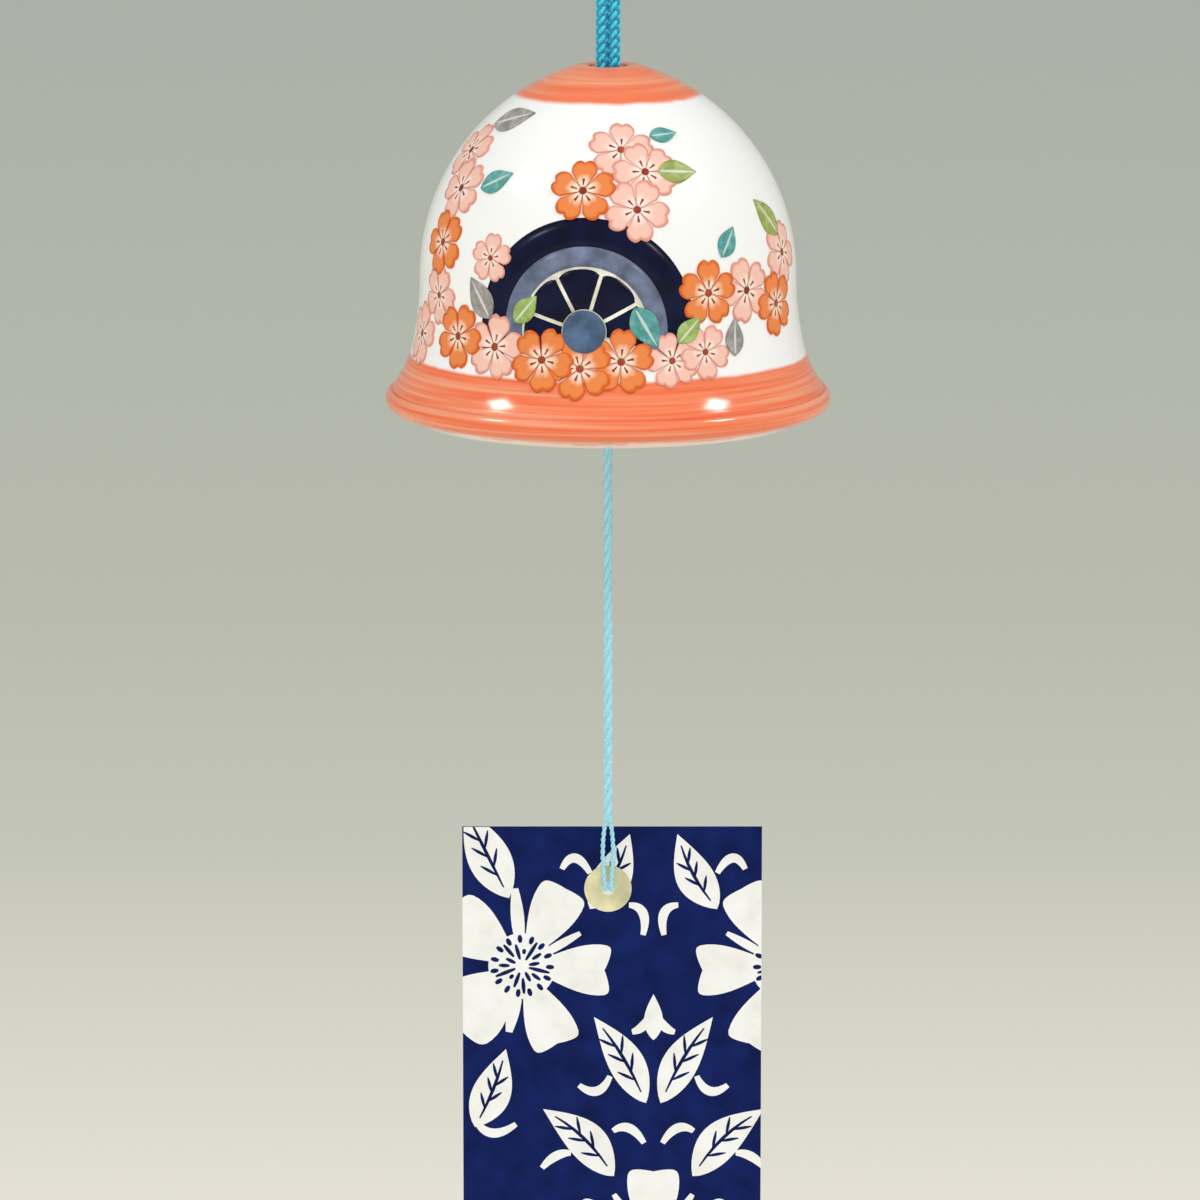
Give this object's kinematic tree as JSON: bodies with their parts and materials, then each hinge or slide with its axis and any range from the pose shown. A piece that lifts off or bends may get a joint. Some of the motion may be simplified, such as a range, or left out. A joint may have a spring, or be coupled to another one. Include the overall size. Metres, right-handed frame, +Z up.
{
  "type": "furin wind bell",
  "caption": "Domed porcelain wind bell on a doubled hanging cord, with a clapper on a string and a printed paper strip that catches the wind.",
  "frame": {"origin": "inside top of the hanging loop, where a hook bears, on the bell's axis", "axes": "+Z up along the bell's axis, +X to the right across the paper strip, -Y towards the viewer"},
  "size_m": [0.074, 0.074, 0.3561],
  "materials": {
    "glazed_porcelain": "gloss glaze",
    "clapper_porcelain": "gloss glaze",
    "braided_cord": "braided",
    "twisted_string": "twisted",
    "printed_paper": "matt print",
    "patch_paper": "matt"
  },
  "bodies": {
    "hanger": {"hanging_cord": "braided_cord"},
    "stopper": {"stopper_knot": "braided_cord"},
    "bell": {"bell": "glazed_porcelain"},
    "hitch": {"clapper_hitch": "twisted_string"},
    "clapper": {"clapper_string": "twisted_string", "clapper": "clapper_porcelain"},
    "clapper_knot": {"clapper_knot": "twisted_string"},
    "string": {"strip_string": "twisted_string"},
    "strip": {"strip": "printed_paper", "hole_patch": "patch_paper", "string_end_left": "twisted_string", "string_end_right": "twisted_string", "end_knot": "twisted_string"}
  },
  "joints": [
    {"name": "bell_turn", "type": "hinge", "parent": "hanger", "child": "stopper", "pos_m": [0, 0, -0.05161], "axis": [0, 0, 1], "range_deg": [-180, 180]},
    {"name": "bell_tip", "type": "hinge", "parent": "stopper", "child": "bell", "pos_m": [0, 0, -0.05161], "axis": [1, 0, 0], "range_deg": [-7, 7]},
    {"name": "clapper_turn", "type": "hinge", "parent": "bell", "child": "hitch", "pos_m": [0, 0, -0.05811], "axis": [0, 0, 1], "range_deg": [-180, 180]},
    {"name": "clapper_swing", "type": "hinge", "parent": "hitch", "child": "clapper", "pos_m": [0, 0, -0.05811], "axis": [1, 0, 0], "range_deg": [-26, 26]},
    {"name": "string_turn", "type": "hinge", "parent": "clapper", "child": "clapper_knot", "pos_m": [0, 0, -0.10316], "axis": [0, 0, 1], "range_deg": [-180, 180]},
    {"name": "string_swing", "type": "hinge", "parent": "clapper_knot", "child": "string", "pos_m": [0, 0, -0.10316], "axis": [1, 0, 0], "range_deg": [-30, 30]},
    {"name": "strip_flap", "type": "hinge", "parent": "string", "child": "strip", "pos_m": [0, 0, -0.17216], "axis": [1, 0, 0], "range_deg": [-90, 90]}
  ]
}
